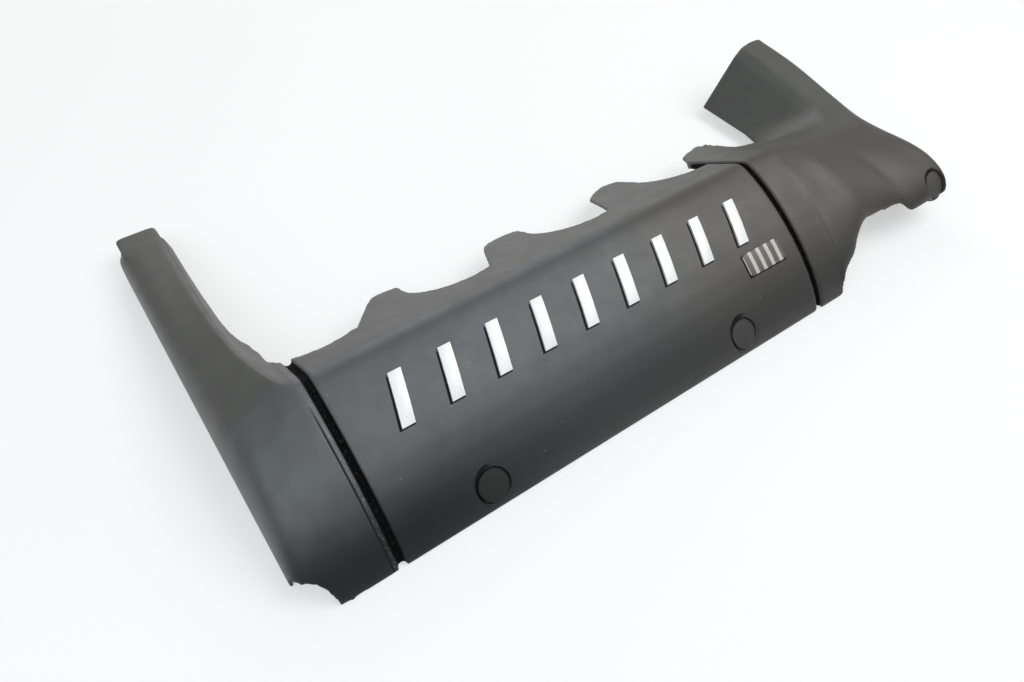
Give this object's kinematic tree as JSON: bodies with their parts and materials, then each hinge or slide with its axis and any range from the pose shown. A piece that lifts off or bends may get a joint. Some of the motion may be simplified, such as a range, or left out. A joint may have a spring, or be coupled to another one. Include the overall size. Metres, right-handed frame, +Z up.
{
  "type": "engine cover",
  "caption": "Long moulded engine cover with a barrel, a scalloped flange between inlet runners, a front arm and a rear wing.",
  "frame": {"origin": "middle of the bounding box in plan, on the surface the cover lies on", "axes": "+X along the barrel from the front arm to the rear wing, +Y from the lower edge to the scalloped side, +Z up"},
  "size_m": [0.5336, 0.3168, 0.0658],
  "materials": {
    "moulded_shell": "fine grain, satin",
    "cap_plastic": "satin",
    "rubber": "matt",
    "steel": "plated",
    "bright_trim": "silver, satin",
    "plate": "satin"
  },
  "bodies": {
    "root": {"cover_shell": "moulded_shell", "front_screw_cap": "cap_plastic", "front_grommet": "rubber", "front_sleeve": "steel", "middle_screw_cap": "cap_plastic", "middle_grommet": "rubber", "middle_sleeve": "steel", "rear_screw_cap": "cap_plastic", "rear_grommet": "rubber", "rear_sleeve": "steel", "trim_bar_1": "bright_trim", "trim_bar_2": "bright_trim", "trim_bar_3": "bright_trim", "trim_bar_4": "bright_trim", "trim_bar_5": "bright_trim", "trim_bar_6": "bright_trim", "trim_bar_7": "bright_trim", "trim_bar_8": "bright_trim", "trim_bar_9": "bright_trim", "small_plate": "plate"}
  },
  "joints": []
}
